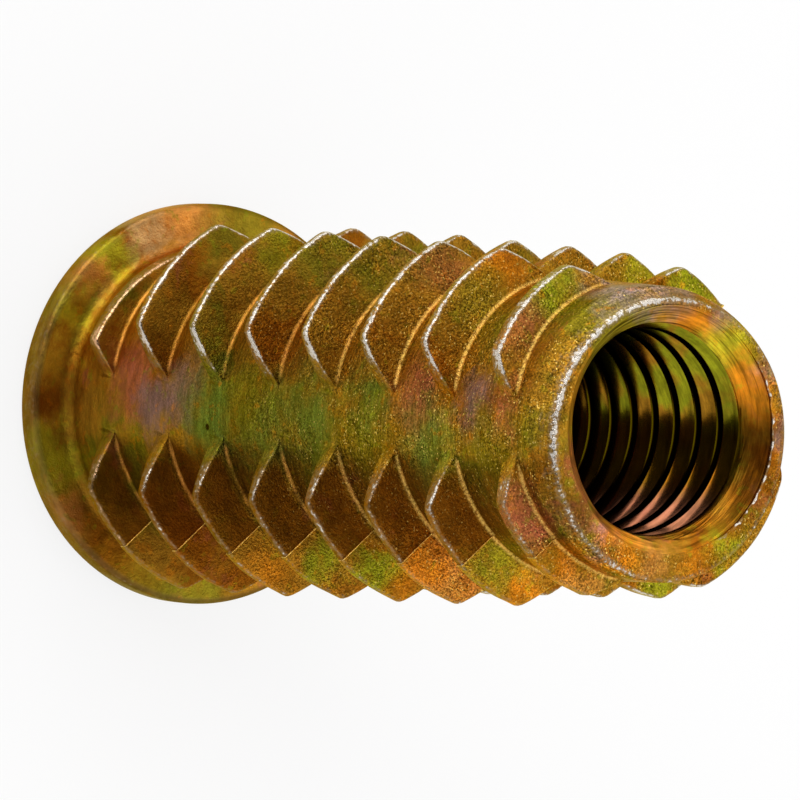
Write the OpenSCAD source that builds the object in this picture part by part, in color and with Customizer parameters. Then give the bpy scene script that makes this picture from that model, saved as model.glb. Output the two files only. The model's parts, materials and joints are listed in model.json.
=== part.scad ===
// Flanged wood insert, cast in one piece: a tapered barrel with an
// interrupted coarse screw thread outside, a tapped bore from the nose and a
// hex socket in the flange.
// It stands on its flange: Z runs from the flange's outer face to the nose.

/* [Body] */
// Overall length, from the flange's outer face to the nose
length = 30; // [26:0.5:40]
// Barrel diameter where it meets the flange
barrel_root_d = 11.6; // [11.2:0.1:12.4]
// Barrel diameter at the nose
barrel_nose_d = 9.7; // [9.4:0.1:10.6]
// Width of the nose chamfer, measured across
nose_chamfer_w = 0.24; // [0.1:0.02:0.4]
// Height of the nose chamfer, measured along the axis
nose_chamfer_h = 0.5; // [0.2:0.05:0.8]

/* [Flange] */
// Flange diameter
flange_d = 14.5; // [14:0.1:18]
// Flange thickness
flange_t = 1.05; // [0.8:0.05:2]
// Rounding of the flange's two rim edges
rim_r = 0.22; // [0.1:0.02:0.35]
// Fillet between the flange and the barrel
neck_r = 0.45; // [0.2:0.05:0.6]

/* [Outer thread] */
// Advance of the thread in one turn, right-hand
pitch = 3.5; // [3:0.1:4.5]
// Crest diameter of the full-height thread at its lowest fin
crest_low_d = 14.4; // [13.8:0.1:14.5]
// Crest diameter of the full-height thread, carried on to the nose
crest_nose_d = 12.3; // [12.2:0.1:13.4]
// How far the line of the crests bows outwards half way up, on the radius
crest_bow = 0.16; // [0:0.02:0.22]
// How much lower the first fin stands at its middle, where the thread runs out
run_out_drop = 0.9; // [0:0.05:0.9]
// How far off the axis the first fin's crest is turned, so that it slopes into the barrel
run_out_shift = 0.9; // [0:0.1:1.2]
// How much lower the fins of the last turn stand, on the radius
lead_in_drop = 0.38; // [0:0.02:0.6]
// How much lower still the very last fin stands
last_fin_drop = 0.5; // [0:0.05:0.6]
// Distance from the flange to the middle of the lowest fin
first_fin_gap = 2; // [1:0.05:3]
// Least distance from the nose to the middle of the last fin
nose_land = 0.55; // [0.5:0.05:2]
// Width of a fin's crest
crest_w = 0.37; // [0.25:0.01:0.5]
// Width of a fin's root
root_w = 0.72; // [0.6:0.02:1.2]
// Rounding along both edges of a fin's crest
crest_r = 0.12; // [0.05:0.01:0.12]
// Fillet along a fin's root
root_r = 0.24; // [0.1:0.02:0.4]
// Part of a quarter turn that a fin fills at its crest, as an angle
crest_arc = 42; // [36:1:50]
// Part of a quarter turn that a fin fills at its root, as an angle
root_arc = 69; // [56:1:74]
// Rounding of a fin's crest where it turns down at each end
corner_r = 0.5; // [0.2:0.05:0.8]

/* [Bore and socket] */
// Diameter of the tapped bore, measured across the thread's crests
bore_d = 6.8; // [6.6:0.05:7]
// Diameter of the countersink at the nose
mouth_d = 8.15; // [7.6:0.05:8.4]
// Hex socket, across its flats
socket_af = 8.1; // [7.6:0.1:8.4]
// Depth of the hex socket
socket_depth = 9; // [6:0.5:12]
// How far the socket's turned lead-in stands out past the hexagon's corners
socket_chamfer = 0.2; // [0.1:0.05:0.4]

/* [Hidden] */
$fn = 96;
ROWS = 4;
ARC_STEPS = 4;
// Slope of the socket's lead-in against the flange face
LEAD_IN_SLOPE = 30;
// Angle at which a fin's root fillet leaves the barrel
ROOT_START = 22;
eps = 0.01;
// How far a cut runs past what it cuts, and a fin's sweep past its ends
overrun = 1;
sweep_overrun = 5;
row_angle = 360 / ROWS;
// Direction of the lowest fin: the rows lie midway between the X and Y axes
first_row_turn = 2 * row_angle + row_angle / 2;
fin_step = pitch / ROWS;
first_fin_z = flange_t + first_fin_gap;
last_fin_z = length - nose_land;
fin_count = floor((last_fin_z - first_fin_z) / fin_step + eps) + 1;
barrel_root_r = barrel_root_d / 2;
barrel_nose_r = barrel_nose_d / 2;
barrel_rise = length - flange_t;
// How deep a fin's foot is sunk into the barrel, so that the two join
fin_sink = 0.3;
// Top of the fins, half way up the nose chamfer
fin_ceiling = length - nose_chamfer_h / 2;
socket_r = socket_af / 2 / cos(30);
lead_in_r = socket_r + socket_chamfer;

// Barrel radius at height z
function barrel_r(z) =
    barrel_root_r + (barrel_nose_r - barrel_root_r) * (z - flange_t) / barrel_rise;

// Crest radius of the fin whose middle is at height z: the last turn is lower, the last fin most
function crest_radius(z, index) =
    let (
        s = (z - first_fin_z) / (length - first_fin_z),
        full = (crest_low_d + (crest_nose_d - crest_low_d) * s) / 2 + 4 * crest_bow * s * (1 - s),
        lead_in = index >= fin_count - ROWS ? lead_in_drop : 0,
        last = index == fin_count - 1 ? last_fin_drop : 0
    )
    max(full - lead_in - last, barrel_r(z) + crest_r + root_r);

// Points of an arc round [cx, cy] from angle a to angle b
function arc(cx, cy, r, a, b, steps = ARC_STEPS) =
    [for (i = [0:steps]) let (t = a + (b - a) * i / steps) [cx + r * cos(t), cy + r * sin(t)]];

// Half of the body's section, from the axis outwards
function body_profile() = concat(
    [[0, 0]],
    arc(flange_d / 2 - rim_r, rim_r, rim_r, -90, 0),
    arc(flange_d / 2 - rim_r, flange_t - rim_r, rim_r, 0, 90),
    arc(barrel_r(flange_t) + neck_r, flange_t + neck_r, neck_r, 270, 180),
    [
        [barrel_nose_r, length - nose_chamfer_h],
        [barrel_nose_r - nose_chamfer_w, length],
        [0, length],
    ]
);

// Upper half of a fin's section: x is the radius, y the height above its middle
function fin_half_section(base_r, tip_r) =
    let (
        lean = atan((root_w - crest_w) / 2 / (tip_r - base_r)),
        turn = 90 - lean,
        foot_y = root_w / 2 + root_r * tan(turn / 2),
        depth = root_r * (1 - cos(ROOT_START)) + fin_sink,
        sunk_y = foot_y - root_r * sin(ROOT_START) + depth / tan(ROOT_START)
    )
    concat(
        [[base_r - fin_sink, sunk_y]],
        arc(base_r + root_r, foot_y, root_r, 180 + ROOT_START, 180 + turn),
        arc(tip_r - crest_r, crest_w / 2 - crest_r * tan(turn / 2), crest_r, 90 - lean, 0)
    );

function mirrored(points) = [for (i = [len(points) - 1:-1:0]) [points[i].x, -points[i].y]];

// A fin's outline across the axis: its ends lean in from the root to the crest
function fin_outline(base_r, tip_r) =
    let (
        crest_half = crest_arc / 2,
        root_half = root_arc / 2,
        crest = [tip_r * cos(crest_half), tip_r * sin(crest_half)],
        root = [base_r * cos(root_half), base_r * sin(root_half)],
        // Direction of the end face, from root to crest
        along = (crest - root) / norm(crest - root),
        end_angle = atan2(along.y, along.x),
        // Centre of the corner rounding, inside both the end face and the crest circle
        side = [sin(end_angle), -cos(end_angle)],
        offset_root = root + side * corner_r,
        reach = tip_r - corner_r,
        b = offset_root * along,
        slide = -b + sqrt(b * b - offset_root * offset_root + reach * reach),
        centre = offset_root + along * slide,
        corner_turn = atan2(centre.y, centre.x),
        inner = root - along * (fin_sink + root_r)
    )
    concat(
        [inner],
        arc(centre.x, centre.y, corner_r, end_angle + 90, corner_turn),
        // Outside the crest circle, which the fin's section cuts
        [[tip_r / cos(corner_turn), centre.y / 2]]
    );

// One fin, with its middle on the X axis at height 0 and leaning with the thread
module fin(base_r, tip_r, headroom) {
    half = fin_half_section(base_r, tip_r);
    outline = fin_outline(base_r, tip_r);
    lean = atan(pitch / (PI * 2 * tip_r));
    sweep = root_arc + 2 * sweep_overrun;
    intersection() {
        rotate([lean, 0, 0])
            rotate([0, 0, -sweep / 2])
                rotate_extrude(angle = sweep)
                    polygon(concat(half, mirrored(half)));
        translate([0, 0, -pitch])
            linear_extrude(height = pitch + min(pitch, headroom))
                polygon(concat(outline, mirrored(outline)));
    }
}

// Cuts a fin down to a circle turned off the axis, so that it rises out of the barrel
module run_out(tip_r) {
    intersection() {
        children();
        translate([0, run_out_shift, -pitch])
            cylinder(h = 2 * pitch, r = tip_r - run_out_drop);
    }
}

// The interrupted thread: fins a quarter turn apart, each a quarter pitch higher
module thread() {
    for (i = [0:fin_count - 1]) {
        z = first_fin_z + i * fin_step;
        base_r = barrel_r(z + root_w / 2);
        tip_r = crest_radius(z, i);
        rotate([0, 0, first_row_turn + i * row_angle])
            translate([0, 0, z])
                if (i == 0)
                    run_out(tip_r)
                        fin(base_r, tip_r, fin_ceiling - z);
                else
                    fin(base_r, tip_r, fin_ceiling - z);
    }
}

// Tapped bore, cut at the diameter across the thread's crests, and its countersink
module bore() {
    sink_h = (mouth_d - bore_d) / 2;
    translate([0, 0, socket_depth - overrun])
        cylinder(h = length - socket_depth + 2 * overrun, d = bore_d);
    translate([0, 0, length - sink_h])
        cylinder(h = sink_h + eps, d1 = bore_d, d2 = mouth_d + 2 * eps);
}

// Hex socket for the driver, with a turned lead-in and a coned floor
module socket() {
    translate([0, 0, -overrun])
        cylinder(h = socket_depth + overrun, r = socket_r, $fn = 6);
    translate([0, 0, -eps])
        cylinder(
            h = (lead_in_r - socket_af / 2) * tan(LEAD_IN_SLOPE),
            r1 = lead_in_r,
            r2 = socket_af / 2
        );
    translate([0, 0, socket_depth - eps])
        cylinder(h = (socket_af - bore_d) / 2, d1 = socket_af, d2 = bore_d);
}

module insert() {
    color([0.62, 0.47, 0.12])
        difference() {
            union() {
                rotate_extrude()
                    polygon(body_profile());
                thread();
            }
            bore();
            socket();
        }
}

insert();
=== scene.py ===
"""Looks of the flanged wood insert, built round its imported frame: casting, coating, floor and light."""
import json
import math

import bpy
import numpy as np
from mathutils import Matrix, Vector, noise


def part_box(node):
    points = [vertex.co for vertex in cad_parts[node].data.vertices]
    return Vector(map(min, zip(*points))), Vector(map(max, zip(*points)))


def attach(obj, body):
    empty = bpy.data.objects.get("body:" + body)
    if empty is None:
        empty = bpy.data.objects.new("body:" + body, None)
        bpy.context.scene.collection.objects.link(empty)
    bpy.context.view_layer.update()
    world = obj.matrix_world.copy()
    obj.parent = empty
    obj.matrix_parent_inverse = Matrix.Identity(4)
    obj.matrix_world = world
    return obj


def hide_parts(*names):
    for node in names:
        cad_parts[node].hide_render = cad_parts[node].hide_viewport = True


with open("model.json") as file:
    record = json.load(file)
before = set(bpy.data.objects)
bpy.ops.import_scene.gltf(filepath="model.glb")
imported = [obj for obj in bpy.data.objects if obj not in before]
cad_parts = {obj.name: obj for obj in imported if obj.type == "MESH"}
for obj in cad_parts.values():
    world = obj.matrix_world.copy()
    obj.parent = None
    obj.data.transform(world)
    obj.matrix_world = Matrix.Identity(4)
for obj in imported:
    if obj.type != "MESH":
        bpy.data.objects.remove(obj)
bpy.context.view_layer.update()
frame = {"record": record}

MM = 0.001
TURN = 360.0
MOUNTS = {mount["name"]: mount for mount in frame["record"]["mounts"]}

# ---------------------------------------------------------------- sizes, in millimetres
FLANGE_R, _, LENGTH = np.array(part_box("insert")[1]) / MM
BORE_R = MOUNTS["tapped_bore"]["dims"]["r_mm"]

FLANGE_T = 1.05
RIM_R = 0.22
NECK_R = 0.45
BARREL_LOW_R = 5.8
BARREL_NOSE_R = 4.85
BARREL_TAPER = (BARREL_LOW_R - BARREL_NOSE_R) / (LENGTH - FLANGE_T)
# The nose face lies under the burr that stands up round part of the mouth
BURR_H = 0.09
NOSE_Z = LENGTH - BURR_H
# The barrel's end and the face turned on it both sit a little off the axis
NOSE_SHIFT = np.array([0.06, -0.12])
NOSE_FACE_R = 4.64
NOSE_FACE_SHIFT = np.array([0.24, 0.16])
NOSE_CHAMFER_SLOPE = 0.65
NOSE_EDGE_R = 0.07
# Direction in which the nose's edge is worn most, and where its painted highlight falls
NOSE_WEAR_TURN = 218.0

PITCH = 3.5
FIN_TURNS = 8
ROWS = 4
ROW_ANGLE = TURN / ROWS
FIRST_ROW_TURN = 135.0
FIRST_ROW_Z = 2.16
CREST_LOW_R = 7.22
CREST_CURVE = 0.0011
# How far a fin's root reaches from its middle towards the flange and towards the nose
ROOT_LOW_W = 0.31
ROOT_HIGH_W = 0.41
CREST_R = 0.1
ROOT_R = 0.15
NOSE_FLANK_LEAN = 8.5
FLANGE_FLANK_LEAN = 5.7
ROOT_HALF_ARC = 34.7
CORNER_R = 0.45
END_FOOT_R = 0.3
# How far from a fin's middle its section ends, along the axis, and how far such ends stay from the
# flange's fillet and from the nose
SECTION_REACH = 0.66
SECTION_GAP = 0.03
# Cuts round the axis: half a fin's crest and how many there are in it, in its end and in the gap
CREST_CUT_ARC = 13.0
CREST_CUTS = 5
END_CUTS = 24
GAP_CUTS = 4
# Height from which a fin's fillets and roundings have their full size
FULL_FIN_H = 0.45
# How worn the crests are: row by row, and where past a fin's middle its corner lies
ROW_WEAR = (0.85, 1.05, 0.7, 0.85)
CORNER_ARC = 24.0
# How worn the rounding of a crest is along its arc, on the flange side and on the nose side; the nose
# side's larger share is partly painted highlight
FLANGE_SIDE_WEAR = (0.0, 0.2, 0.4, 0.5)
NOSE_SIDE_WEAR = (0.5, 0.9, 1.0, 0.8)
# Painted highlight along the root fillet's arc
ROOT_HIGHLIGHT = (0.0, 0.7, 1.0, 0.5, 0.0)
# For each row: crest arc before and after its middle, lowering towards the nose, and for its last
# fin how much lower it stands and how much longer its crest is
ROW_SHAPES = (
    (21.5, 21.8, 0.08, 0.25, 3.0),
    (19.8, 21.5, 0.03, 0.38, 0.0),
    (20.0, 22.5, 0.06, 0.42, 0.0),
    (17.5, 24.0, 0.08, 0.68, 5.0),
)
# In one stretch of directions the crests are a little lower
CREST_LOWERING = 0.11
LOWERING_TURN = 322.0
# Shallow dents of the crests: depth, and how many to a degree
DENT = 0.03
DENTS_PER_DEGREE = 0.12
# The last fin falls away as it goes round
LAST_FIN_TURN = 382.0
LAST_FIN_SLOPE = 0.0062
# The thread runs out into the barrel beside the flange
RUN_OUT_TURN = 284.0
RUN_OUT_SLOPE = 0.0157

# The die's halves met a little out of line, in a plane through the middle of two rows: how wide the
# step between them is as an angle, how far it is along the axis, and how high the flash on it stands
PARTING_TURNS = (135.0, 315.0)
PARTING_STEP = 0.4
MISMATCH_Z = 0.10
FLASH = 0.05

# Directions between which the burr stands, and over how many degrees it fades at each end
BURR_TURNS = (30.0, 140.0)
BURR_FADES = (3.0, 30.0)
MOUTH_R = 4.07
MOUTH_SHIFT = np.array([-0.10, 0.11])
# The countersink's depth, and the direction on whose side it is shallowest
SINK_DEPTH = 0.62
SINK_TURN = 350.0
THREAD_PITCH = 1.25
SOCKET_AF = 8.1
SOCKET_DEPTH = 9.0
LEAD_IN_R = SOCKET_AF / 2 / math.cos(math.pi / 6) + 0.2
LEAD_IN_SLOPE = math.tan(math.radians(30.0))
INSIDE_STEPS = 180
# Section of the burr's lip from the countersink's edge outwards: offset and height as shares of the
# burr's own height; the last point lies a little further out, on the nose's face
LIP_OUT = (0.4, 1.0, 1.8, 1.8)
LIP_UP = (0.8, 1.0, 0.7, 0.0)
LIP_FOOT = (0.0, 0.0, 0.0, 0.05)
# The tapped thread along one pitch: share of the pitch and depth below the crests, and how much painted
# shade it takes
THREAD_SHAPE = ((0.0, 0.0), (0.14, 0.0), (0.18, 0.04), (0.32, 0.32), (0.44, 0.58),
                (0.50, 0.62), (0.56, 0.58), (0.68, 0.32), (0.82, 0.04), (0.86, 0.0))
THREAD_PAINTED_SHADE = (1.0, 1.0, 0.0, 0.0, 0.0, 0.5, 1.0, 1.0, 1.0, 1.0)


def arc(cx, cy, r, start, end, steps):
    """Points of an arc, angles in degrees."""
    turn = np.radians(np.linspace(start, end, steps + 1))
    return [(cx + r * math.cos(t), cy + r * math.sin(t)) for t in turn]


def smooth_min(a, b, blend):
    """The smaller of two values, rounded off where they differ by less than the blend."""
    gap = np.maximum(blend - np.abs(a - b), 0.0)
    return np.minimum(a, b) - gap * gap / (4 * blend)


def smooth_step(x):
    """A soft step from 0 at 0 to 1 at 1."""
    x = np.clip(x, 0.0, 1.0)
    return x * x * (3 - 2 * x)


# ---------------------------------------------------------------- outside of the casting
def barrel_r(z):
    """Radius of the tapering barrel."""
    return BARREL_LOW_R - BARREL_TAPER * (z - FLANGE_T)


def off_centre(turns, shift):
    """How much further out a circle reaches in each direction when it is moved sideways."""
    t = np.radians(turns)
    return shift[0] * np.cos(t) + shift[1] * np.sin(t)


def nose_face_r(turns):
    """Radius of the flat face at the nose, which stays inside the barrel."""
    inside = barrel_r(NOSE_Z) + off_centre(turns, NOSE_SHIFT)
    return smooth_min(NOSE_FACE_R + off_centre(turns, NOSE_FACE_SHIFT), inside, 0.1)


def body_r(turns, z):
    """Radius of the barrel and its nose chamfer at a direction and a height."""
    shift = off_centre(turns, NOSE_SHIFT)
    side = barrel_r(z) + shift * smooth_step((z - 0.4 * LENGTH) / (0.6 * LENGTH))
    chamfer = nose_face_r(turns) + (NOSE_Z - z) * NOSE_CHAMFER_SLOPE
    return smooth_min(side, chamfer, 0.05)


def crest_r(z, row, last):
    """Radius of a row's crests: a curve that falls faster towards the nose, and a lower last fin."""
    lowering, last_drop = ROW_SHAPES[row][2:4]
    lowering = lowering * smooth_step(z / (0.7 * LENGTH))
    return CREST_LOW_R - CREST_CURVE * z * z - lowering - last_drop * last


def fin_section(height):
    """Section of a fin over the barrel for each height given, from its flange side to its nose side.

    Each point is (offset along the axis, height, on the crest, on the root fillet).
    """
    rounding = smooth_step(height / FULL_FIN_H)
    root_r = ROOT_R * rounding
    edge_r = CREST_R * rounding

    def half(lean, half_w, wear):
        """Foot, leaning flank and rounded corner of one side."""
        reach = math.tan(math.radians(45.0 - lean / 2))
        foot = half_w + root_r * reach
        shoulder = half_w - height * math.tan(math.radians(lean)) - edge_r * reach
        points = [(SECTION_REACH + 0.0 * height, 0.0 * height, 0.0, 0.0)]
        for (x, y), line in zip(arc(0, 0, 1, -90, -180 + lean, 4), ROOT_HIGHLIGHT):
            points.append((foot + root_r * x, root_r * (1 + y), 0.0, line))
        corner = [(shoulder + edge_r * x, height - edge_r * (1 - y), worn, 0.0)
                  for (x, y), worn in zip(arc(0, 0, 1, lean, 90, 3), wear)]
        low, high = points[-1], corner[0]
        for s in (0.4, 0.88):
            points.append((low[0] + (high[0] - low[0]) * s, low[1] + (high[1] - low[1]) * s, 0.0, 0.0))
        return points + corner

    flange_side = half(FLANGE_FLANK_LEAN, ROOT_LOW_W, FLANGE_SIDE_WEAR)
    nose_side = half(NOSE_FLANK_LEAN, ROOT_HIGH_W, NOSE_SIDE_WEAR)
    return [(-u, v, crest, root) for u, v, crest, root in flange_side] + nose_side[::-1]


def end_profile(root_r, tip_r, crest_half_arc):
    """How far out a fin reaches at each angle from its middle: crest, corner, leaning end, foot."""
    crest = np.radians(crest_half_arc)
    root = np.radians(ROOT_HALF_ARC)
    tip = tip_r * np.array([math.cos(crest), math.sin(crest)])
    foot = root_r * np.array([math.cos(root), math.sin(root)])
    along = (tip - foot) / np.linalg.norm(tip - foot)
    side = np.array([along[1], -along[0]])

    def slide(point, reach):
        """The place along the leaning end at which a point is as far from the axis as given."""
        b = point @ along
        return point + along * (-b + math.sqrt(b * b - point @ point + reach * reach))

    centre = slide(foot + side * CORNER_R, tip_r - CORNER_R)
    first = math.degrees(math.atan2(centre[1], centre[0]))
    last = math.degrees(math.atan2(along[1], along[0])) + 90
    corner = arc(centre[0], centre[1], CORNER_R, first, last, 12)
    base = slide(foot - side * END_FOOT_R, root_r + END_FOOT_R)
    touch = math.degrees(math.atan2(base[1], base[0])) + 180
    fillet = arc(base[0], base[1], END_FOOT_R, last + 180, touch, 8)
    x, y = np.array(corner + fillet).T
    return np.degrees(np.arctan2(y, x)), np.hypot(x, y)


def fin_stations():
    """Directions round the axis at which the outside is cut, from the rear gap's middle on."""
    crest = np.linspace(0, CREST_CUT_ARC, CREST_CUTS)
    end = np.linspace(CREST_CUT_ARC + 2, ROOT_HALF_ARC + 2.5, END_CUTS)
    gap = np.linspace(ROOT_HALF_ARC + 5, ROW_ANGLE / 2, GAP_CUTS)
    half = np.concatenate([crest, end, gap])
    row = np.concatenate([-half[:0:-1], half])
    turns = []
    for i in range(ROWS):
        turns += [FIRST_ROW_TURN + i * ROW_ANGLE + t for t in row[:-1]]
    for parting in PARTING_TURNS:
        turns.remove(parting)
        turns += [parting + PARTING_STEP * s for s in (-3.0, -1.0, -0.5, 0.5, 3.0)]
    return np.array(sorted(turns))


def fin_reach(turns, phase, number):
    """Height of the fins of one turn over the barrel."""
    last = float(number == FIN_TURNS - 1)
    reach = np.zeros(len(turns))
    crest = np.zeros(len(turns))
    for row in range(ROWS):
        middle = FIRST_ROW_TURN + row * ROW_ANGLE
        away = turns - middle if row == 0 else phase - middle
        z = FIRST_ROW_Z + PITCH * (number + row / ROWS)
        foot = barrel_r(z)
        tip = crest_r(z, row, last)
        longer = ROW_SHAPES[row][4] * last
        for before in (True, False):
            angle, out = end_profile(foot, tip, ROW_SHAPES[row][0 if before else 1] + longer * before)
            mine = np.interp(np.abs(away), angle, out, left=tip, right=foot) - foot
            here = (np.abs(away) <= ROW_ANGLE / 2) & ((away < 0) == before)
            reach = np.where(here, mine, reach)
            crest = np.where(here, tip - foot, crest)
    drop = CREST_LOWERING * smooth_step((phase - LOWERING_TURN) / 14)
    drop = drop * (phase < LOWERING_TURN + ROW_ANGLE / 2)
    reach = np.where(drop > 0, np.minimum(reach, smooth_min(reach, crest - drop, 0.06)), reach)
    dents = [noise.noise(Vector((turn * DENTS_PER_DEGREE, 5.3 * number, 0.4))) for turn in phase]
    reach = reach + DENT * np.array(dents) * smooth_step(reach - 0.3)
    if last:
        fall = LAST_FIN_SLOPE * np.maximum(phase - LAST_FIN_TURN, 0.0)
        reach = np.minimum(reach, smooth_min(reach, crest - fall, 0.1))
    if number == 0:
        faded = crest - RUN_OUT_SLOPE * np.maximum(RUN_OUT_TURN - phase, 0.0)
        reach = np.maximum(smooth_min(reach, faded, 0.15), 0.0)
    return reach


class Rings:
    """Rings round the outside, from the flange's face to the nose's, with the marks of their points."""

    def __init__(self, turns):
        self.turns = turns
        self.columns = {"r": [], "z": [], "crest": [], "root": [], "seam": []}

    def add(self, r, z, crest=0.0, root=0.0, seam=0.0):
        """A ring: each value is one number, or one for each direction."""
        for name, value in zip(self.columns, (r, z, crest, root, seam)):
            self.columns[name].append(np.broadcast_to(value, len(self.turns)))

    def add_body(self, z, crest=0.0):
        """A ring on the barrel or its nose chamfer."""
        self.add(body_r(self.turns, z), z, crest)

    def grid(self):
        """Radii, heights and marks, with a row for each direction."""
        return {name: np.array(values).T for name, values in self.columns.items()}


def flange_rings(rings):
    """The flange's rim and face and the fillet up to the barrel; returns the fillet's top."""
    rim = arc(FLANGE_R - RIM_R, RIM_R, RIM_R, -90, 0, 4)
    rim += arc(FLANGE_R - RIM_R, FLANGE_T - RIM_R, RIM_R, 0, 90, 4)
    neck = arc(barrel_r(FLANGE_T) + NECK_R, FLANGE_T + NECK_R, NECK_R, 270, 185, 5)
    rim_end = rim[-1][0]
    rim += [(rim_end + (neck[0][0] - rim_end) * s, FLANGE_T) for s in (0.05, 0.5, 0.9)]
    for r, z in rim:
        rings.add(r, z, crest=0.3 * (r > FLANGE_R - 0.3 * RIM_R))
    for r, z in neck:
        rings.add(r, z)
    return neck[-1][1]


def crest_wear(phase):
    """How worn the crests are in each direction: most at a fin's corners, less on its ends."""
    past = np.abs((phase - FIRST_ROW_TURN + ROW_ANGLE / 2) % ROW_ANGLE - ROW_ANGLE / 2)
    wear = 1.0 + 0.25 * smooth_step(1.8 - np.abs(past - CORNER_ARC) / 2.5)
    wear = wear - 0.4 * smooth_step((past - CORNER_ARC - 1.5) / 4)
    row = np.round((phase - FIRST_ROW_TURN) / ROW_ANGLE).astype(int) % ROWS
    sheltered = (row == 2) & (phase > PARTING_TURNS[1])
    return wear * np.array(ROW_WEAR)[row] * (1.0 - 0.25 * sheltered)


def nose_rings(rings, top_z):
    """The end of the barrel over the last fins, its chamfer and the edge of the nose's face."""
    turns = rings.turns
    face_r = nose_face_r(turns)
    chamfer_h = (barrel_r(NOSE_Z) + off_centre(turns, NOSE_SHIFT) - face_r) / NOSE_CHAMFER_SLOPE
    chamfer_h = np.maximum(chamfer_h, 0.12)
    room = np.minimum(1.0, (NOSE_Z - top_z) / (1.3 * chamfer_h))
    for s in (0.33, 0.67):
        rings.add_body(top_z + (NOSE_Z - 1.15 * chamfer_h * room - top_z) * s)
    for share in (1.15, 1.0, 0.85, 0.6, 0.35):
        rings.add_body(NOSE_Z - share * chamfer_h * room, crest=0.3 * (share < 0.7))
    worn = 0.6 + 0.45 * smooth_step(1.7 - np.abs(turns - NOSE_WEAR_TURN) / 45)
    worn = worn + 0.2 * smooth_step(1.6 - np.abs(turns - NOSE_WEAR_TURN - 80) / 40)
    rings.add(face_r + NOSE_EDGE_R * NOSE_CHAMFER_SLOPE, NOSE_Z - NOSE_EDGE_R, crest=0.8 * worn)
    for x, y in arc(0, 0, NOSE_EDGE_R, 35, 90, 3):
        rings.add(face_r - NOSE_EDGE_R * 0.7 + x, NOSE_Z - NOSE_EDGE_R + y, crest=worn)
    rings.add(face_r - 0.09, NOSE_Z, crest=0.8 * worn)
    rings.add(face_r - 0.2, NOSE_Z, crest=0.3 * worn)


def parting_flash(turns):
    """Height of the flash that stands on the step between the die's halves."""
    beside = [np.abs(turns - p + s * PARTING_STEP / 2) for p, s in zip(PARTING_TURNS, (-1, 1))]
    return FLASH * (np.min(beside, axis=0) < PARTING_STEP / 4)


def along_thread(turns):
    """Direction counted along the thread, and how far the thread has climbed there."""
    gap = ROW_ANGLE / 2 - ROOT_HALF_ARC - 4
    start = FIRST_ROW_TURN - ROW_ANGLE / 2
    rear, front = start + gap, start + TURN - gap
    phase = np.where(turns < rear, turns + TURN, turns)
    # In the rear gap the columns run back down by one turn of the thread
    back = smooth_step((phase - front) / (rear + TURN - front)) * (phase > front)
    second_half = (turns < PARTING_TURNS[0]) | (turns > PARTING_TURNS[1])
    return phase, PITCH * ((phase - FIRST_ROW_TURN) / TURN - back) - MISMATCH_Z * second_half


def outside_grid(turns):
    """The outside in cylindrical coordinates: one row for each direction, one column up the casting."""
    phase, climb = along_thread(turns)
    flash = parting_flash(turns)
    wear = crest_wear(phase)
    rings = Rings(turns)
    z_low = flange_rings(rings) + SECTION_GAP
    z_high = NOSE_Z - SECTION_GAP
    for number in range(FIN_TURNS):
        middle = FIRST_ROW_Z + PITCH * number + (climb + flash)
        shrink_low = np.clip((middle - z_low) / SECTION_REACH, 0.05, 1.0)
        shrink_high = np.clip((z_high - middle) / SECTION_REACH, 0.05, 1.0)
        reach = fin_reach(turns, phase, number)
        standing = smooth_step((reach - 0.1) / 0.3)
        for u, v, crest, root in fin_section(reach):
            z = middle + u * np.where(u < 0, shrink_low, shrink_high)
            r = body_r(turns, z) + v + flash * (v > 0.3)
            seam = 1.0 * (flash > 0) * (v > 0.1)
            rings.add(r, z, crest * wear * standing, root * standing, seam)
        top_z = middle + SECTION_REACH * shrink_high
        if number < FIN_TURNS - 1:
            following = middle + PITCH
            shrink_low = np.clip((following - z_low) / SECTION_REACH, 0.05, 1)
            bottom_z = following - SECTION_REACH * shrink_low
            for s in (0.25, 0.5, 0.75):
                rings.add_body(top_z + (bottom_z - top_z) * s)
    nose_rings(rings, top_z)
    return rings.grid()


# ---------------------------------------------------------------- bore, countersink and socket
def mouth_r(turns):
    """Radius of the countersink's edge, which lies a little off the axis."""
    return MOUTH_R + off_centre(turns, MOUTH_SHIFT)


def burr(turns):
    """Height of the jagged burr that the countersink left round part of the mouth."""
    height = np.zeros(len(turns))
    for i, turn in enumerate(turns):
        jag = noise.noise(Vector((turn * 0.21, 3.1, 0.0)))
        jag = jag + 0.6 * noise.noise(Vector((turn * 0.6, 7.7, 0.0)))
        fade = smooth_step((turn - BURR_TURNS[0]) / BURR_FADES[0])
        fade = fade * smooth_step((BURR_TURNS[1] - turn) / BURR_FADES[1])
        height[i] = BURR_H * fade * min(1.0, max(0.15, 0.62 + 0.6 * jag))
    return height


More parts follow.
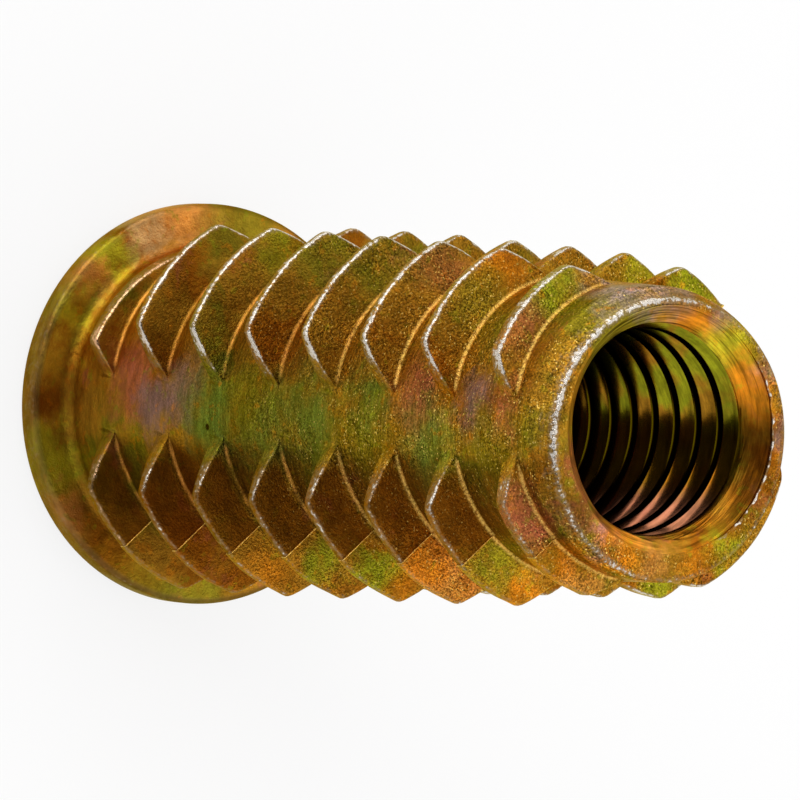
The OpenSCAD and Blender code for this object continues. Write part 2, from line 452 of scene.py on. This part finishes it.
def inside_grid(turns):
    """The inside from the socket's floor up to the mouth, with its columns along the thread."""
    top_z = NOSE_Z - 0.05
    pitches = int(math.ceil((top_z - SOCKET_DEPTH) / THREAD_PITCH)) + 1
    share, depth = np.array(THREAD_SHAPE * (pitches + 1)).T
    dark = np.array(THREAD_PAINTED_SHADE * (pitches + 1))[None, :]
    pitch_number = np.repeat(np.arange(pitches + 1), len(THREAD_SHAPE)) - 1
    z = THREAD_PITCH * (pitch_number + share)[None, :] + THREAD_PITCH * turns[:, None] / TURN
    z = np.clip(SOCKET_DEPTH + z, SOCKET_DEPTH, top_z)
    thread = BORE_R + depth[None, :] * smooth_step((top_z - z) / 0.8)
    mouth = mouth_r(turns)[:, None]
    sink_depth = SINK_DEPTH * (0.72 - 0.28 * np.cos(np.radians(turns - SINK_TURN)))[:, None]
    sink = mouth - (top_z - z) * (mouth - BORE_R) / sink_depth
    floor = SOCKET_AF / 2 - (z - SOCKET_DEPTH)
    r = np.maximum(-smooth_min(-thread, -sink, 0.08), floor)
    cut = smooth_step((thread - sink) / 0.15) * smooth_step((thread - floor) / 0.15)
    cut = cut * smooth_step((top_z - z - 0.3) / 0.9)
    return {"r": r, "z": z, "groove": dark * cut, "bore": 0.5 + 0.5 * cut}


def socket_rings(turns):
    """Rings from the socket's floor down its walls and out over the turned lead-in."""
    sixth = np.radians((turns % 60.0) - 30.0)
    wall = SOCKET_AF / 2 / np.cos(sixth)
    lead_z = (LEAD_IN_R - wall) * LEAD_IN_SLOPE
    rings = [(wall, np.full(len(turns), SOCKET_DEPTH))]
    for s in (0.03, 0.3, 0.6, 0.9):
        rings.append((wall, SOCKET_DEPTH + (lead_z - SOCKET_DEPTH) * s))
    rings.append((wall, lead_z))
    rings.append((np.full(len(turns), LEAD_IN_R), np.zeros(len(turns))))
    return rings


# ---------------------------------------------------------------- mesh of the whole casting
def bridge(low, low_turns, high, high_turns):
    """Triangles between two closed rings that are cut at different directions."""
    faces = []
    i = j = 0
    while i < len(low) or j < len(high):
        next_low = low_turns[i] if i < len(low) else math.inf
        next_high = high_turns[j] if j < len(high) else math.inf
        a, b = low[i - 1], high[j - 1]
        if next_low <= next_high:
            faces.append((a, low[i], b))
            i += 1
        else:
            faces.append((a, high[j], b))
            j += 1
    return faces


class Shell:
    """Points, faces and marks of the casting, in millimetres."""

    def __init__(self):
        self.points = []
        self.marks = {"crest": [], "root": [], "seam": [], "groove": [], "bore": []}
        self.faces = []
        self.count = 0

    def add(self, turns, r, z, **marks):
        """Add points and return their numbers in the shape of the radii given."""
        r, z = np.broadcast_arrays(r, z)
        t = np.radians(turns).reshape([-1] + [1] * (r.ndim - 1))
        self.points.append(np.stack([r * np.cos(t), r * np.sin(t), z], axis=-1).reshape(-1, 3))
        for name, values in self.marks.items():
            values.append(np.broadcast_to(marks.get(name, 0.0), r.shape).reshape(-1))
        numbers = self.count + np.arange(r.size).reshape(r.shape)
        self.count += r.size
        return numbers

    def sheet(self, numbers, shift=0):
        """Join a grid's rows round the axis; at the seam the columns move up by a number of places."""
        rows, columns = numbers.shape
        for i in range(rows):
            last = i == rows - 1
            here = numbers[i]
            there = np.roll(numbers[0], -shift) if last and shift else numbers[(i + 1) % rows]
            stop = columns - 1 - shift if last else columns - 1
            for k in range(stop):
                self.faces.append((here[k], there[k], there[k + 1], here[k + 1]))

    def merged(self):
        """Points with doubles joined, faces without repeats, and the marks of the points kept."""
        points = np.concatenate(self.points)
        keys = np.round(points / 2e-4).astype(np.int64)
        _, first, number = np.unique(keys, axis=0, return_index=True, return_inverse=True)
        number = number.reshape(-1)
        faces = []
        for face in self.faces:
            kept = []
            for index in (int(number[k]) for k in face):
                if index not in kept:
                    kept.append(index)
            if len(kept) > 2:
                faces.append(kept)
        marks = {name: np.concatenate(values)[first] for name, values in self.marks.items()}
        return points[first], faces, marks


def add_lip(shell, inside, turns):
    """The burr's lip, from the countersink's edge out to the nose's face; returns its points."""
    mouth, edge = mouth_r(turns), burr(turns)
    r = mouth[:, None] + edge[:, None] * np.array(LIP_OUT) + np.array(LIP_FOOT)
    rise = edge[:, None] * np.array(LIP_UP)
    chipped = np.array([noise.noise(Vector((turn * 0.28, 1.9, 0.0))) for turn in turns])
    worn = np.clip(rise, 0.0, 0.06) / 0.06 * (0.3 + 0.7 * smooth_step(0.4 + 2.0 * chipped))[:, None]
    lip = shell.add(turns, r, NOSE_Z + rise, crest=1.35 * worn, bore=0.25)
    shell.sheet(np.concatenate([inside[:, -1:], lip], axis=1))
    return lip


def add_socket(shell, inside, turns):
    """The hexagonal socket, from its floor down to the flange's face; returns its points."""
    rings = socket_rings(turns)
    radii = np.stack([r for r, _ in rings], axis=-1)
    heights = np.stack([z for _, z in rings], axis=-1)
    socket = shell.add(turns, radii, heights)
    shell.sheet(np.concatenate([inside[:, :1], socket], axis=1))
    return socket


def casting_mesh():
    """Points, faces and marks of the closed skin: outside, bore, lip and socket, joined at the ends."""
    shell = Shell()
    turns = fin_stations()
    outside = shell.add(turns, **outside_grid(turns))
    shell.sheet(outside)

    inside_turns = np.linspace(0, TURN, INSIDE_STEPS, endpoint=False)
    inside = shell.add(inside_turns, **inside_grid(inside_turns))
    shell.sheet(inside, shift=len(THREAD_SHAPE))
    lip = add_lip(shell, inside, inside_turns)
    socket = add_socket(shell, inside, inside_turns)

    order = np.argsort(turns % TURN)
    shell.faces += bridge(lip[:, -1], inside_turns, outside[order, -1], turns[order] % TURN)
    shell.faces += bridge(socket[:, -1], inside_turns, outside[order, 0], turns[order] % TURN)
    return shell.merged()


def build_casting():
    """The casting as one object, with the marks as attributes of its points."""
    points, faces, marks = casting_mesh()
    mesh = bpy.data.meshes.new("insert_casting")
    mesh.from_pydata((points * MM).tolist(), [], faces)
    mesh.update()
    for name, values in marks.items():
        layer = mesh.attributes.new(name, "FLOAT", "POINT")
        layer.data.foreach_set("value", values.astype(np.float32))
    for polygon in mesh.polygons:
        polygon.use_smooth = True
    obj = bpy.data.objects.new("insert_casting", mesh)
    bpy.context.scene.collection.objects.link(obj)
    bpy.context.view_layer.objects.active = obj
    obj.select_set(True)
    bpy.ops.object.mode_set(mode="EDIT")
    bpy.ops.mesh.select_all(action="SELECT")
    bpy.ops.mesh.normals_make_consistent(inside=False)
    bpy.ops.object.mode_set(mode="OBJECT")
    mesh.set_sharp_from_angle(angle=math.radians(42))
    return obj


# ---------------------------------------------------------------- shading tools
def tint(red, green, blue):
    """A colour given in display values from 0 to 255, as the linear values that sockets take."""
    shares = [value / 255 for value in (red, green, blue)]
    return tuple(s / 12.92 if s <= 0.04045 else ((s + 0.055) / 1.055) ** 2.4 for s in shares)


class Wire:
    """An output of a material's node: arithmetic on it adds the nodes that work it out."""

    def __init__(self, bench, socket):
        self.bench = bench
        self.socket = socket

    def sum_with(self, operation, first, second):
        """Add a Math node."""
        return self.bench.node("ShaderNodeMath", {"operation": operation}, {0: first, 1: second})

    def __add__(self, other):
        return self.sum_with("ADD", self, other)

    def __radd__(self, other):
        return self.sum_with("ADD", other, self)

    def __sub__(self, other):
        return self.sum_with("SUBTRACT", self, other)

    def __rsub__(self, other):
        return self.sum_with("SUBTRACT", other, self)

    def __mul__(self, other):
        return self.sum_with("MULTIPLY", self, other)

    def __rmul__(self, other):
        return self.sum_with("MULTIPLY", other, self)

    def __truediv__(self, other):
        return self.sum_with("DIVIDE", self, other)

    def __rtruediv__(self, other):
        return self.sum_with("DIVIDE", other, self)

    def highest(self, other):
        """The larger of two values."""
        return self.sum_with("MAXIMUM", self, other)

    def over(self, low, high):
        """A soft step from 0 at low to 1 at high; low may be the larger."""
        return self.bench.node(
            "ShaderNodeMapRange", {"interpolation_type": "SMOOTHSTEP"},
            {"Value": self, "From Min": low, "From Max": high}, "Result")


class Bench:
    """The nodes of one material."""

    def __init__(self, material):
        material.use_nodes = True
        self.tree = material.node_tree

    def plug(self, slot, value):
        """Link a wire to a socket, or set the socket's own value; colours come without their alpha."""
        if isinstance(value, Wire):
            self.tree.links.new(value.socket, slot)
        elif slot.type == "RGBA":
            slot.default_value = (*value, 1.0)
        else:
            slot.default_value = value

    def node(self, kind, settings, inputs, output=0):
        """Add a node: its settings first, then what goes into its sockets."""
        node = self.tree.nodes.new(kind)
        for name, value in settings.items():
            setattr(node, name, value)
        for name, value in inputs.items():
            self.plug(node.inputs[name], value)
        return Wire(self, node.outputs[output])

    def mix(self, factor, first, second, blend="MIX"):
        """Mix two colours."""
        settings = {"data_type": "RGBA", "blend_type": blend}
        return self.node("ShaderNodeMix", settings, {0: factor, 6: first, 7: second}, 2)

    def vector(self, operation, first, second, output=0):
        """Work with vectors."""
        settings = {"operation": operation}
        return self.node("ShaderNodeVectorMath", settings, {0: first, 1: second}, output)

    def noise(self, place, size, detail=2.0, roughness=0.5, output="Fac"):
        """Noise whose lumps are about the size given, in the units of the place."""
        return self.node(
            "ShaderNodeTexNoise", {},
            {"Vector": place, "Scale": 1.0 / size, "Detail": detail, "Roughness": roughness}, output)

    def mark(self, name):
        """One of the marks that the mesh's points carry."""
        return self.node("ShaderNodeAttribute", {"attribute_name": name}, {}, "Fac")


# ---------------------------------------------------------------- yellow passivate on cast zinc
GOLD = tint(158, 112, 30)
BRONZE = tint(146, 84, 16)
OLIVE = tint(122, 112, 26)
LIME = tint(134, 140, 26)
ROSE = tint(164, 88, 58)
MAUVE = tint(132, 98, 92)
MOSS = tint(94, 120, 44)
ASH = tint(152, 130, 128)
CITRUS = tint(178, 168, 36)
BEIGE = tint(196, 158, 104)
AMBER = tint(198, 118, 22)
PEACH = tint(212, 142, 66)
BRASS = tint(188, 152, 42)
GLINT = tint(250, 212, 110)
RIM_SHADE = tint(108, 80, 46)
EARTH = tint(128, 66, 8)
SHADE = tint(16, 9, 4)
WORN = tint(138, 116, 84)
BARE_ZINC_AND_GLINT = tint(210, 203, 194)

# Patches of the coating on the barrel, the flange and the nose: direction, height, radius, reach,
# colour, strength
BARREL_PATCHES = (
    (261.0, 5.2, 5.6, 1.5, ROSE, 1.0),
    (270.0, 6.6, 5.6, 1.2, MAUVE, 0.9),
    (264.0, 8.2, 5.6, 1.3, MAUVE, 0.8),
    (274.0, 10.2, 5.5, 1.7, MOSS, 0.9),
    (276.0, 13.3, 5.4, 1.9, MOSS, 0.8),
    (265.0, 12.4, 5.4, 1.4, OLIVE, 0.8),
    (271.0, 16.4, 5.3, 1.7, MOSS, 0.8),
    (263.0, 19.8, 5.2, 1.2, MOSS, 0.9),
    (277.0, 19.6, 5.2, 1.4, OLIVE, 0.8),
    (261.5, 22.7, 5.1, 1.4, ROSE, 1.0),
    (278.0, 23.4, 5.1, 1.6, MOSS, 0.8),
    (260.0, 26.0, 5.0, 1.0, MAUVE, 0.9),
    (265.0, 27.6, 4.9, 1.0, ROSE, 1.0),
    (279.0, 26.8, 5.0, 1.4, OLIVE, 0.8),
    (274.0, 29.3, 4.8, 0.9, OLIVE, 0.8),
    (194.0, 1.0, 7.0, 1.8, PEACH, 0.9),
    (206.0, 1.0, 6.7, 1.0, BEIGE, 0.8),
    (220.0, 1.0, 6.8, 1.1, CITRUS, 1.0),
    (231.0, 1.0, 6.9, 0.9, PEACH, 1.0),
    (241.0, 1.0, 6.7, 1.0, CITRUS, 0.9),
    (256.0, 1.0, 6.7, 1.1, BRASS, 0.9),
    (272.0, 1.0, 6.6, 0.9, EARTH, 0.6),
    (283.0, 1.0, 6.7, 0.9, BRASS, 0.8),
    (290.0, 1.0, 6.8, 1.3, CITRUS, 1.0),
    (304.0, 1.0, 7.0, 0.9, PEACH, 0.9),
    (324.0, 1.0, 6.9, 2.2, EARTH, 0.7),
    (356.0, 1.0, 6.9, 1.6, OLIVE, 0.8),
    (168.0, 1.0, 6.6, 1.6, OLIVE, 0.8),
    (38.0, 29.9, 4.6, 0.8, LIME, 0.8),
    (353.0, 29.9, 4.3, 0.8, PEACH, 0.7),
    (18.0, 29.9, 4.5, 0.8, AMBER, 0.7),
    (335.0, 29.9, 4.3, 0.9, AMBER, 0.8),
    (314.0, 29.9, 4.3, 0.9, ROSE, 0.6),
    (198.0, 29.0, 4.95, 1.2, ASH, 1.0),
    (176.0, 29.0, 4.95, 1.1, ASH, 0.7),
    (150.0, 29.9, 4.6, 0.7, ASH, 0.7),
    (118.0, 29.9, 4.6, 0.6, ASH, 0.8),
    (95.0, 29.9, 4.6, 0.5, ASH, 0.7),
    (326.0, 29.9, 4.5, 0.5, MAUVE, 0.7),
    (137.0, 29.6, 4.0, 1.1, CITRUS, 0.9),
    (112.0, 29.6, 3.9, 1.1, AMBER, 0.9),
    (160.0, 29.6, 3.9, 0.9, AMBER, 0.8),
    # The next two patches are painted shade on the countersink's +Y side
    (82.0, 29.6, 4.0, 1.3, EARTH, 0.9),
    (56.0, 29.6, 4.0, 1.0, BRONZE, 0.8),
)
# The same on a fin's nose side: row, number from 1 at the flange, degrees past the fin's middle, share
# of its height, reach, colour, strength
FIN_PATCHES = (
    (1, 2, -18.0, 0.6, 1.1, OLIVE, 0.8),
    (1, 3, -18.0, 0.6, 1.2, LIME, 0.6),
    (1, 4, -12.0, 0.5, 1.0, OLIVE, 0.8),
    (1, 5, -8.0, 0.5, 1.2, OLIVE, 0.9),
    (1, 6, -14.0, 0.6, 1.2, ROSE, 0.5),
    (1, 7, -16.0, 0.6, 0.9, AMBER, 0.8),
    (1, 7, -2.0, 0.4, 1.1, OLIVE, 0.6),
    (1, 8, -8.0, 0.6, 1.3, LIME, 0.9),
    (1, 8, 12.0, 0.5, 0.9, ROSE, 0.5),
    (2, 3, 12.0, 0.6, 1.0, AMBER, 0.6),
    (2, 4, 9.0, 0.5, 0.9, LIME, 0.8),
    (2, 5, 10.0, 0.6, 1.0, LIME, 0.9),
    (2, 5, 22.0, 0.6, 0.8, AMBER, 0.7),
    (2, 6, 14.0, 0.6, 1.2, PEACH, 0.6),
    (2, 6, 6.0, 0.6, 0.8, AMBER, 0.8),
    (2, 7, 10.0, 0.5, 1.1, LIME, 0.7),
    (2, 7, 22.0, 0.6, 0.8, AMBER, 0.9),
    (2, 8, -14.0, 0.5, 1.1, ROSE, 0.9),
    (2, 8, 12.0, 0.5, 1.2, AMBER, 0.9),
    (2, 8, 22.0, 0.5, 0.8, PEACH, 0.5),
    (0, 3, 14.0, 0.6, 1.2, OLIVE, 0.8),
    (0, 7, 14.0, 0.6, 1.2, LIME, 0.7),
    (0, 8, 14.0, 0.6, 1.4, LIME, 0.9),
    (3, 7, -16.0, 0.6, 1.0, LIME, 0.8),
)

FIN_PATCH_SHIFT = 0.3
# A small dark spot on the barrel
DARK_SPOT = (0.62, -5.47, 10.0)
# Direction of the strip of the barrel that is painted in shade, beside the fins with the parting line
SHADED_STRIP_TURN = 300.0


def patches():
    """Middle, reach, colour and strength of every patch."""
    for turn, z, r, reach, tone, strength in BARREL_PATCHES:
        t = math.radians(turn)
        yield (r * math.cos(t), r * math.sin(t), z), reach, tone, strength
    for row, number, past, share, reach, tone, strength in FIN_PATCHES:
        turn = FIRST_ROW_TURN + row * ROW_ANGLE + past
        z = FIRST_ROW_Z + PITCH * (number - 1 + (turn - FIRST_ROW_TURN) / TURN)
        r = barrel_r(z) + share * (crest_r(z, row, 0.0) - barrel_r(z))
        t = math.radians(turn)
        yield (r * math.cos(t), r * math.sin(t), z + FIN_PATCH_SHIFT), reach, tone, strength


def coating(bench, place):
    """Colour of the iridescent coating: bands that drift between gold, green and rose."""
    drift = bench.noise(place, 1.25, detail=3.0, output="Color")
    drift = bench.vector("MULTIPLY", bench.vector("SUBTRACT", drift, (0.5,) * 3), (2.2,) * 3)
    wandering = bench.vector("ADD", place, drift)
    film = bench.noise(wandering, 5.0, detail=4.0, roughness=0.6)
    colour = bench.mix(film.over(0.38, 0.52), BRONZE, GOLD)
    colour = bench.mix(film.over(0.54, 0.64) * 0.9, colour, OLIVE)
    elsewhere = bench.vector("ADD", wandering, (40.0, 0.0, 0.0))
    blush = bench.noise(elsewhere, 2.6, detail=4.0, roughness=0.65)
    colour = bench.mix(blush.over(0.58, 0.68) * 0.6, colour, ROSE)
    ragged = (bench.noise(place, 0.7, detail=4.0, roughness=0.75) - 0.5) * 2.4
    for centre, reach, tone, strength in patches():
        away = bench.vector("DISTANCE", wandering, centre, "Value") + ragged
        colour = bench.mix(away.over(1.5 * reach, 0.1 * reach) * strength, colour, tone)
    elsewhere = bench.vector("ADD", place, (0.0, 30.0, 0.0))
    mottle = bench.noise(elsewhere, 0.55, detail=3.0, roughness=0.7)
    colour = bench.mix(mottle.over(0.58, 0.70) * 0.4, colour, LIME)
    return bench.mix(mottle.over(0.43, 0.30) * 0.4, colour, AMBER)


class Zones:
    """Where each finish lies on the casting: places in millimetres, and masks from 0 to 1."""

    def __init__(self, bench):
        here = bench.node("ShaderNodeTexCoord", {}, {}, "Object")
        self.place = bench.vector("MULTIPLY", here, (1 / MM,) * 3)
        self.x, self.y, self.z = (
            bench.node("ShaderNodeSeparateXYZ", {}, {"Vector": self.place}, name) for name in "XYZ")
        across = bench.vector("MULTIPLY", self.place, (1.0, 1.0, 0.0))
        self.radius = bench.vector("LENGTH", across, (0.0,) * 3, "Value")
        self.crest, self.root, self.seam, self.groove, bore = (
            bench.mark(name) for name in ("crest", "root", "seam", "groove", "bore"))
        # The mark called bore is 1 in the tapped thread, 0.5 in the countersink and 0.25 on its lip
        self.machined = bore.over(0.0, 0.5)
        self.tapped = bore.over(0.6, 0.9)
        self.countersunk = self.machined * (1.0 - self.tapped)
        # The side of the bore towards +X, where the thread is drawn rosier and takes deeper painted shade
        self.rosy_side = self.x.over(1.6, 2.6)
        self.flange = self.z.over(1.5, 1.1)
        self.rim = self.radius.over(6.95, 7.15) * self.flange
        self.barrel = (self.radius + self.z * BARREL_TAPER).over(6.15, 5.95)
        # On the fins of one row, where the die's halves meet, one half's side is painted in shade,
        # browner and darker, and the side on the die's second half is painted in light
        self.second_half = (self.x + self.y).over(-0.02, 0.02)
        seam_row = self.facing(PARTING_TURNS[1]).over(0.86, 0.91)
        seam_row = seam_row * self.z.over(29.0, 26.0) * self.z.over(1.3, 2.8)
        self.seam_row = seam_row * (1.0 - self.barrel * 0.9)
        self.shaded_half = self.seam_row * (1.0 - self.second_half)
        # A strip of the barrel painted in shade
        self.shaded_strip = self.facing(SHADED_STRIP_TURN).over(0.942, 0.972) * self.barrel

    def facing(self, turn):
        """Cosine of the angle round the axis between each place and a direction."""
        t = math.radians(turn)
        return (self.x * math.cos(t) + self.y * math.sin(t)) / self.radius


class Grain:
    """Textures of the skin that its colour, roughness and relief share."""

    def __init__(self, bench, zones):
        place = zones.place
        self.fine = bench.noise(place, 0.08, detail=2.0, roughness=0.7)
        along = bench.vector("MULTIPLY", place, (1.0, 1.0, 3.5))
        self.streaks = bench.noise(along, 1.1, detail=4.0, roughness=0.7)
        # Turning lines of the countersink
        self.lines = bench.noise(bench.vector("MULTIPLY", place, (0.03, 0.03, 1.0)), 0.05, detail=1.0)
        # Cells of the grain that are painted as glints
        glints = bench.node("ShaderNodeTexVoronoi", {}, {"Vector": place, "Scale": 23.0}, "Color")
        self.glint_cell = bench.node("ShaderNodeSeparateColor", {}, {"Color": glints}, "Red")
        # The skin is coarser towards the nose and in clumps, and the bore is smooth
        coarse = zones.z.over(-1.0, 17.0) * (1.0 - zones.machined)
        clumps = bench.noise(place, 1.6, detail=3.0, roughness=0.6)
        coarse = coarse * (0.55 + clumps.over(0.35, 0.65) * 0.65)
        # Less grain where the seam row is painted in shade
        self.coarse = coarse * (1.0 - zones.shaded_half * 0.5)


def thread_colour(bench, zones):
    """The tapped thread's colour: lime and gold, with painted shade in dark brown over the bore's +X
    half, and rosier on its far +X side.
    """
    colour = bench.mix(bench.noise(zones.place, 1.5, detail=3.0).over(0.45, 0.62), LIME, GOLD)
    # Painted shade: the thread on the bore's +X half is browned
    colour = bench.mix(zones.x.over(-0.8, 0.2) * 0.75, colour, EARTH)
    return bench.mix(zones.rosy_side * 0.85, colour, bench.mix(0.5, ROSE, MAUVE))


def brightness(bench, zones, grain):
    """How bright the coating is drawn: grainy and streaky, brighter towards the nose, with painted light
    and shade zone by zone.
    """
    shade = 0.88 + (grain.fine.over(0.30, 0.72) - 0.5) * grain.coarse * 1.2
    shade = shade * (0.8 + grain.streaks.over(0.35, 0.65) * 0.4)
    # Painted light on the flange's face, painted shade on its rim
    shade = shade * (1.0 + zones.flange * zones.radius.over(6.1, 6.35) * 0.6 - zones.rim * 0.7)
    # Painted light on the countersink, broken by its turning lines
    countersink = zones.countersunk * (0.4 - grain.lines.over(0.56, 0.68) * 0.6)
    # Painted shade over the whole thread, deeper on the bore's +X side
    thread = zones.tapped * (0.2 + zones.rosy_side * 0.15)
    shade = shade * (1.0 + countersink - thread)
    # Painted shade on the countersink's +Y side
    shade = shade * (1.0 - zones.countersunk * zones.y.over(1.6, 3.4) * zones.x.over(-1.4, 0.2) * 0.6)
    # Painted light on the seam row's second half, painted shade on its other half
    lit_half = zones.second_half * (0.1 + zones.z.over(3.0, 15.0) * 0.3)
    shade = shade * (1.0 + zones.seam_row * (lit_half - 0.12))
    shade = shade * (0.9 + zones.z.over(14.0, 26.0) * 0.3)
    # Painted shade on the barrel between the fins, broken by streaks and growing away from the flange
    around = bench.vector("MULTIPLY", zones.place, (0.4, 0.4, 6.0))
    brushed = bench.noise(around, 0.6, detail=3.0, roughness=0.7).over(0.35, 0.65)
    shade = shade * (1.0 - zones.barrel * zones.z.over(5.0, 12.0) * (0.36 - brushed * 0.4))
    # Painted shade on that strip of the barrel
    return shade * (1.0 - zones.shaded_strip * 0.35)


def small_marks(bench, colour, zones, grain):
    """Painted highlights on the root fillets and the parting line's flash, painted glints, a dark spot,
    and painted shade in the thread.
    """
    # Painted highlight along the root fillets, weaker on the seam row
    foot_highlight = zones.root * grain.streaks.over(0.35, 0.65)
    colour = bench.mix(foot_highlight * (0.7 - zones.seam_row * 0.45), colour, PEACH)
    # Painted glints on the root fillets towards the nose
    foot_highlight = zones.root * grain.fine.over(0.3, 0.6) * zones.z.over(12.0, 24.0)
    colour = bench.mix(foot_highlight * 0.5, colour, GLINT)
    # Painted highlight on the flash along the parting line
    flash_highlight = zones.seam.over(0.2, 0.9) * grain.streaks.over(0.25, 0.5)
    colour = bench.mix(flash_highlight * 0.9, colour, GLINT)
    dark_spot = bench.vector("DISTANCE", zones.place, DARK_SPOT, "Value")
    colour = bench.mix(dark_spot.over(0.16, 0.08), colour, SHADE)
    # Painted glints on single grains of the skin
    glints = grain.glint_cell.over(0.95, 1.0) * grain.coarse * zones.z.over(6.0, 24.0)
    colour = bench.mix(glints * 0.8, colour, GLINT)
    # Painted shade, black, on the thread's crests and far flanks
    return bench.mix(zones.groove.over(0.90, 1.0), colour, SHADE)


def worn_edges(bench, colour, zones):
    """The coating is thin along the edges and chipped off them in places, down to bare metal; the bare
    metal also serves as painted highlight, warmer near the flange.
    """
    chips = bench.noise(zones.place, 0.6, detail=4.0, roughness=0.7) * 1.3
    chips = chips + bench.noise(zones.place, 0.12, detail=1.0) * 1.2
    wear_and_glint = zones.crest + (chips - 1.25) * zones.crest.over(0.0, 0.4)
    colour = bench.mix(wear_and_glint.over(0.25, 0.80) * 0.55, colour, WORN)
    bare = bench.mix(zones.z.over(8.0, 3.0) * 0.7, BARE_ZINC_AND_GLINT, PEACH)
    return bench.mix(wear_and_glint.over(0.75, 1.05) * 0.9, colour, bare)


def relief(bench, zones, grain):
    """Bumps of the cast skin, and the fine lines turned in the countersink."""
    height = grain.fine * (0.3 + grain.coarse * 0.9) + bench.noise(zones.place, 1.1, detail=3.0) * 1.8
    height = height * (1.0 - zones.machined * 0.95) + zones.countersunk * grain.lines * 0.8
    return bench.node(
        "ShaderNodeBump", {}, {"Strength": 0.8, "Distance": 0.06 * MM, "Height": height}, "Normal")


def passivated_zinc():
    """Cast zinc under an iridescent yellow passivate that has worn off its edges, with light and shade
    painted into its colour in places.
    """
    material = bpy.data.materials.new("passivated_zinc")
    bench = Bench(material)
    shader = material.node_tree.nodes["Principled BSDF"]
    zones = Zones(bench)
    grain = Grain(bench, zones)

    colour = coating(bench, zones.place)
    # Painted shade: the seam row's other half is browned
    colour = bench.mix(zones.shaded_half * 0.65, colour, EARTH)
    # Painted shade on the flange's rim, except on its side towards -X
    colour = bench.mix(zones.rim * zones.x.over(-6.5, -3.0) * 0.55, colour, RIM_SHADE)
    colour = bench.mix(zones.tapped * 0.85, colour, thread_colour(bench, zones))
    shade = brightness(bench, zones, grain)
    grey = bench.node("ShaderNodeCombineColor", {}, {0: shade, 1: shade, 2: shade})
    colour = bench.mix(1.0, colour, grey, "MULTIPLY")
    colour = small_marks(bench, colour, zones, grain)
    bench.plug(shader.inputs["Base Color"], worn_edges(bench, colour, zones))

    roughness = 0.15 + (1.0 - zones.machined) * (0.20 + grain.fine * 0.2)
    roughness = roughness - zones.crest.over(0.4, 0.9) * 0.2 + zones.countersunk * 0.3
    bench.plug(shader.inputs["Roughness"], roughness)
    bench.plug(shader.inputs["Normal"], relief(bench, zones, grain))
    shader.inputs["Metallic"].default_value = 1.0
    shader.inputs["Specular Tint"].default_value = (1.0, 0.85, 0.4, 1.0)
    return material


casting = build_casting()
casting.data.materials.append(passivated_zinc())
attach(casting, "root")
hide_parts("insert")

# ---------------------------------------------------------------- camera, floor and light
IMAGE_PX = 800
CAMERA_AT = Vector((-0.00411, -0.13219, 0.21718))
CAMERA_RIGHT = Vector((-0.0365, 0.8382, 0.5441)).normalized()
CAMERA_UP = Vector((-0.9992, -0.0227, -0.0322))
SENSOR = 36.0
FOCAL_PX = 7000.0

camera_data = bpy.data.cameras.new("camera")
camera_data.sensor_width = SENSOR
camera_data.lens = FOCAL_PX / IMAGE_PX * SENSOR
camera_data.clip_start = 0.01
camera_data.clip_end = 10.0
camera = bpy.data.objects.new("camera", camera_data)
back = CAMERA_RIGHT.cross(CAMERA_UP).normalized()
up = back.cross(CAMERA_RIGHT)
camera.matrix_world = Matrix((
    (CAMERA_RIGHT.x, up.x, back.x, CAMERA_AT.x),
    (CAMERA_RIGHT.y, up.y, back.y, CAMERA_AT.y),
    (CAMERA_RIGHT.z, up.z, back.z, CAMERA_AT.z),
    (0, 0, 0, 1),
))
bpy.context.scene.collection.objects.link(camera)
bpy.context.scene.camera = camera


def floor_finish():
    """A pale floor: it takes the casting's shadow and is otherwise seen and mirrored as near white."""
    material = bpy.data.materials.new("floor")
    bench = Bench(material)
    nodes = material.node_tree.nodes
    nodes.remove(nodes["Principled BSDF"])
    path = {name: bench.node("ShaderNodeLightPath", {}, {}, name)
            for name in ("Is Camera Ray", "Is Glossy Ray", "Is Transmission Ray")}
    seen = path["Is Camera Ray"].highest(path["Is Glossy Ray"]).highest(path["Is Transmission Ray"])
    paper = bench.node("ShaderNodeBsdfDiffuse", {}, {"Color": (0.88, 0.88, 0.88)})
    glow = bench.node("ShaderNodeEmission", {}, {"Color": (1.0, 1.0, 1.0), "Strength": 1.0})
    finish = bench.node("ShaderNodeMixShader", {}, {0: seen * 0.8, 1: paper, 2: glow})
    bench.plug(nodes["Material Output"].inputs["Surface"], finish)
    return material


bpy.ops.mesh.primitive_plane_add(size=3.0)
floor = bpy.context.object
floor.name = "floor"
floor.data.materials.append(floor_finish())


def lamp(name, direction, distance, size, power):
    """A square soft lamp that faces the casting's middle: metres and watts."""
    data = bpy.data.lights.new(name, "AREA")
    data.shape = "SQUARE"
    data.size = size
    data.energy = power
    away = Vector(direction).normalized()
    obj = bpy.data.objects.new(name, data)
    obj.location = Vector((0, 0, LENGTH / 2 * MM)) + away * distance
    obj.rotation_euler = away.to_track_quat("Z", "Y").to_euler()
    obj.visible_camera = False
    bpy.context.scene.collection.objects.link(obj)


lamp("upper_lamp", (-0.86, -0.46, 0.22), 0.6, 0.7, 5.5)
lamp("lower_card", (0.993, 0.085, -0.131), 0.3, 4.0, 59.0)
lamp("side_lamp", (-0.40, 0.60, 0.69), 0.6, 1.0, 3.8)

world = bpy.data.worlds.new("world")
bpy.context.scene.world = world
world.use_nodes = True
sky = world.node_tree.nodes["Background"]
sky.inputs["Color"].default_value = (0.95, 0.97, 1.0, 1)
sky.inputs["Strength"].default_value = 0.05
bpy.context.scene.view_settings.view_transform = "Standard"
